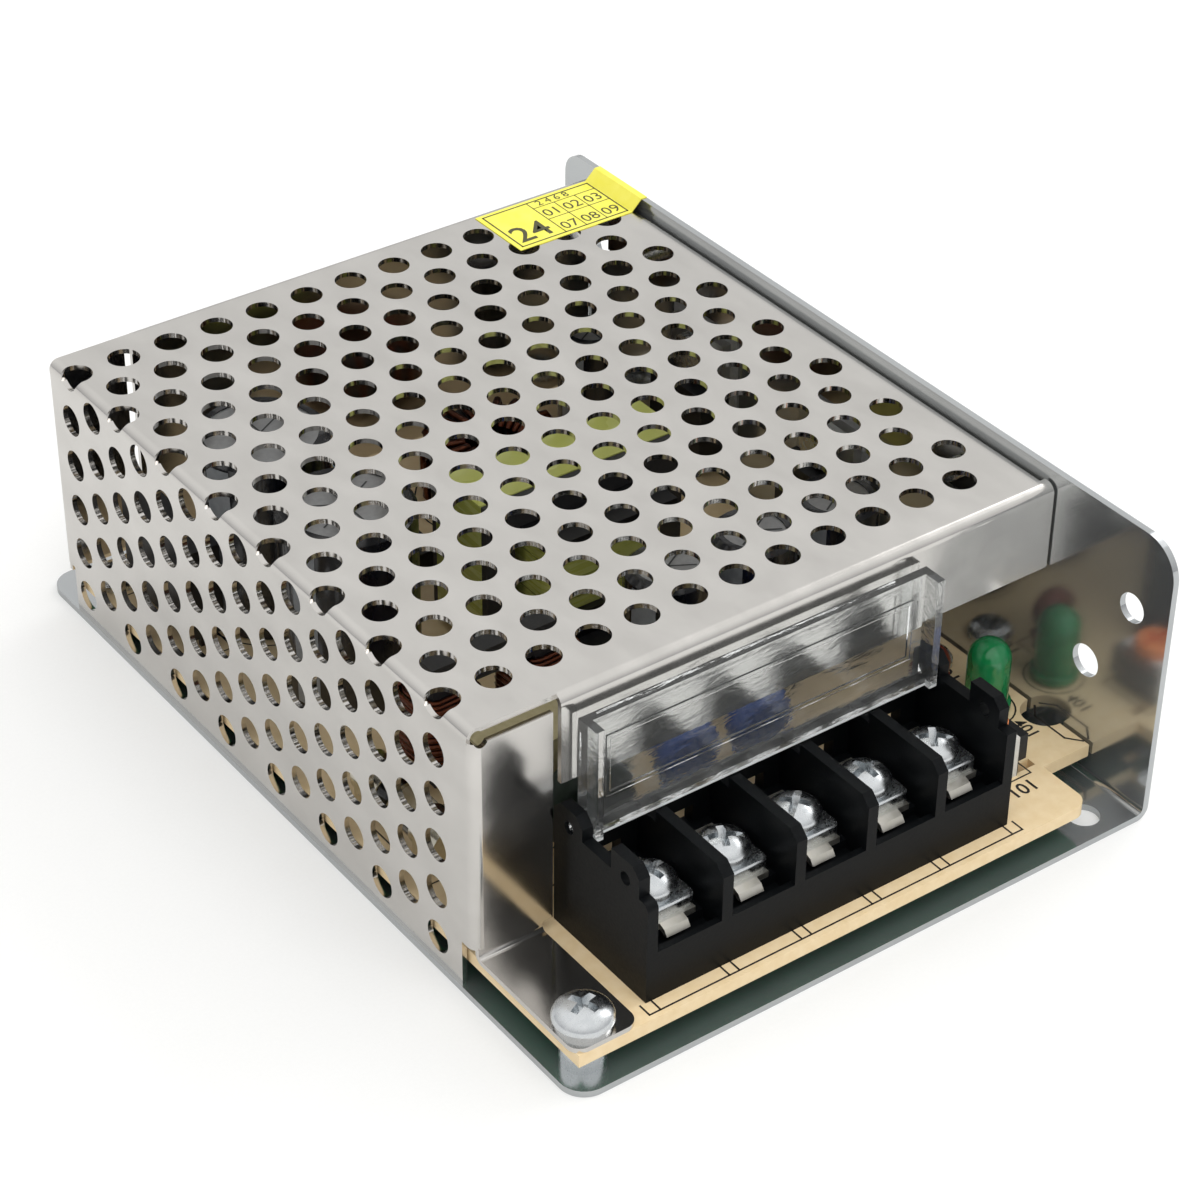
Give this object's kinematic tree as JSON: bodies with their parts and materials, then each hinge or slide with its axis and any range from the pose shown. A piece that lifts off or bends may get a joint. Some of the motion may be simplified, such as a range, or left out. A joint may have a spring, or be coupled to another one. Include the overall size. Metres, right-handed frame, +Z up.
{
  "type": "mesh case switching power supply",
  "caption": "Low box power supply with a perforated folded cover on a bright L-shaped chassis, a barrier terminal block and a clear hinged terminal cover.",
  "frame": {"origin": "middle of the base plate's footprint, on its underside", "axes": "+Y along the length from the terminal block to the back, +Z up from the base, +X towards the chassis wall"},
  "size_m": [0.078, 0.11, 0.0361],
  "materials": {
    "plated_steel": "bright galvanised",
    "bright_steel": "bright zinc plated",
    "laminate": "satin, green solder side",
    "black_moulding": "semi-gloss",
    "clear_moulding": "clear gloss",
    "tinned_brass": "tinned",
    "green_lens": "translucent gloss",
    "tinned_wire": "tinned",
    "pale_moulding": "satin",
    "orange_moulding": "satin",
    "yellow_paper": "satin coated",
    "clear_film": "satin film",
    "ferrite": "matt",
    "yellow_tape": "satin",
    "black_bobbin": "satin",
    "can_aluminium": "satin",
    "black_sleeve": "gloss",
    "copper_wire": "enamelled",
    "film_case": "satin",
    "blue_dip": "semi-gloss",
    "dark_dip": "satin",
    "brown_dip": "satin",
    "epoxy_black": "satin",
    "fuse_glass": "clear",
    "nickel_cap": "nickel plated",
    "grey_pad": "matt",
    "resistor_coat": "matt"
  },
  "bodies": {
    "case": {"chassis": "plated_steel", "mesh_cover": "plated_steel", "circuit_board": "laminate", "insulating_film": "clear_film", "terminal_block": "black_moulding", "terminal_tags": "tinned_brass", "power_led": "green_lens", "led_leads": "tinned_wire", "trimmer_body": "pale_moulding", "board_standoffs": "bright_steel", "board_screws": "bright_steel", "foot_screw": "bright_steel", "foot_washer": "bright_steel", "cover_screws": "bright_steel", "device_screws": "bright_steel", "seal_label": "yellow_paper", "transformer_core": "ferrite", "transformer_tape": "yellow_tape", "transformer_bobbin": "black_bobbin", "transformer_winding": "yellow_tape", "input_capacitors": "can_aluminium", "input_sleeves": "black_sleeve", "output_capacitors": "can_aluminium", "output_sleeves": "black_sleeve", "bias_can": "can_aluminium", "bias_sleeve": "black_sleeve", "filter_choke_core": "ferrite", "filter_choke_windings": "copper_wire", "film_capacitor": "film_case", "safety_capacitors": "blue_dip", "inrush_thermistor": "dark_dip", "brown_capacitor": "brown_dip", "fuse_tube": "fuse_glass", "fuse_caps": "nickel_cap", "bridge_rectifier": "epoxy_black", "output_rectifier": "epoxy_black", "switching_transistor": "epoxy_black", "insulating_pads": "grey_pad", "output_choke_core": "ferrite", "output_choke_winding": "copper_wire", "controller_chip": "epoxy_black", "optocoupler": "epoxy_black", "power_resistors": "resistor_coat", "wire_links": "tinned_wire"},
    "flap": {"terminal_cover": "clear_moulding"},
    "rotor": {"trimmer_rotor": "orange_moulding"},
    "clamp_1": {"clamp_plate_1": "bright_steel"},
    "screw_1": {"terminal_screw_1": "bright_steel"},
    "clamp_2": {"clamp_plate_2": "bright_steel"},
    "screw_2": {"terminal_screw_2": "bright_steel"},
    "clamp_3": {"clamp_plate_3": "bright_steel"},
    "screw_3": {"terminal_screw_3": "bright_steel"},
    "clamp_4": {"clamp_plate_4": "bright_steel"},
    "screw_4": {"terminal_screw_4": "bright_steel"},
    "clamp_5": {"clamp_plate_5": "bright_steel"},
    "screw_5": {"terminal_screw_5": "bright_steel"}
  },
  "joints": [
    {"name": "cover_hinge", "type": "hinge", "parent": "case", "child": "flap", "pos_m": [-0.00343, -0.0379, 0.0189], "axis": [1, 0, 0], "range_deg": [0, 90]},
    {"name": "trimmer_turn", "type": "hinge", "parent": "case", "child": "rotor", "pos_m": [0.0254, -0.0423, 0.0104], "axis": [0, 0, 1], "range_deg": [-120, 120]},
    {"name": "clamp_lift_1", "type": "slide", "parent": "case", "child": "clamp_1", "axis": [0, 0, 1], "range_m": [0, 0.0018]},
    {"name": "screw_turn_1", "type": "hinge", "parent": "clamp_1", "child": "screw_1", "pos_m": [-0.02243, -0.0443, 0.0127], "axis": [0, 0, 1], "range_deg": [0, 1080]},
    {"name": "clamp_lift_2", "type": "slide", "parent": "case", "child": "clamp_2", "axis": [0, 0, 1], "range_m": [0, 0.0018]},
    {"name": "screw_turn_2", "type": "hinge", "parent": "clamp_2", "child": "screw_2", "pos_m": [-0.01293, -0.0443, 0.0127], "axis": [0, 0, 1], "range_deg": [0, 1080]},
    {"name": "clamp_lift_3", "type": "slide", "parent": "case", "child": "clamp_3", "axis": [0, 0, 1], "range_m": [0, 0.0018]},
    {"name": "screw_turn_3", "type": "hinge", "parent": "clamp_3", "child": "screw_3", "pos_m": [-0.00343, -0.0443, 0.0127], "axis": [0, 0, 1], "range_deg": [0, 1080]},
    {"name": "clamp_lift_4", "type": "slide", "parent": "case", "child": "clamp_4", "axis": [0, 0, 1], "range_m": [0, 0.0018]},
    {"name": "screw_turn_4", "type": "hinge", "parent": "clamp_4", "child": "screw_4", "pos_m": [0.00607, -0.0443, 0.0127], "axis": [0, 0, 1], "range_deg": [0, 1080]},
    {"name": "clamp_lift_5", "type": "slide", "parent": "case", "child": "clamp_5", "axis": [0, 0, 1], "range_m": [0, 0.0018]},
    {"name": "screw_turn_5", "type": "hinge", "parent": "clamp_5", "child": "screw_5", "pos_m": [0.01558, -0.0443, 0.0127], "axis": [0, 0, 1], "range_deg": [0, 1080]}
  ],
  "couplings": [
    {"joint": "screw_turn_1", "follows": "clamp_lift_1", "rad_per_m": 10472},
    {"joint": "screw_turn_2", "follows": "clamp_lift_2", "rad_per_m": 10472},
    {"joint": "screw_turn_3", "follows": "clamp_lift_3", "rad_per_m": 10472},
    {"joint": "screw_turn_4", "follows": "clamp_lift_4", "rad_per_m": 10472},
    {"joint": "screw_turn_5", "follows": "clamp_lift_5", "rad_per_m": 10472}
  ]
}
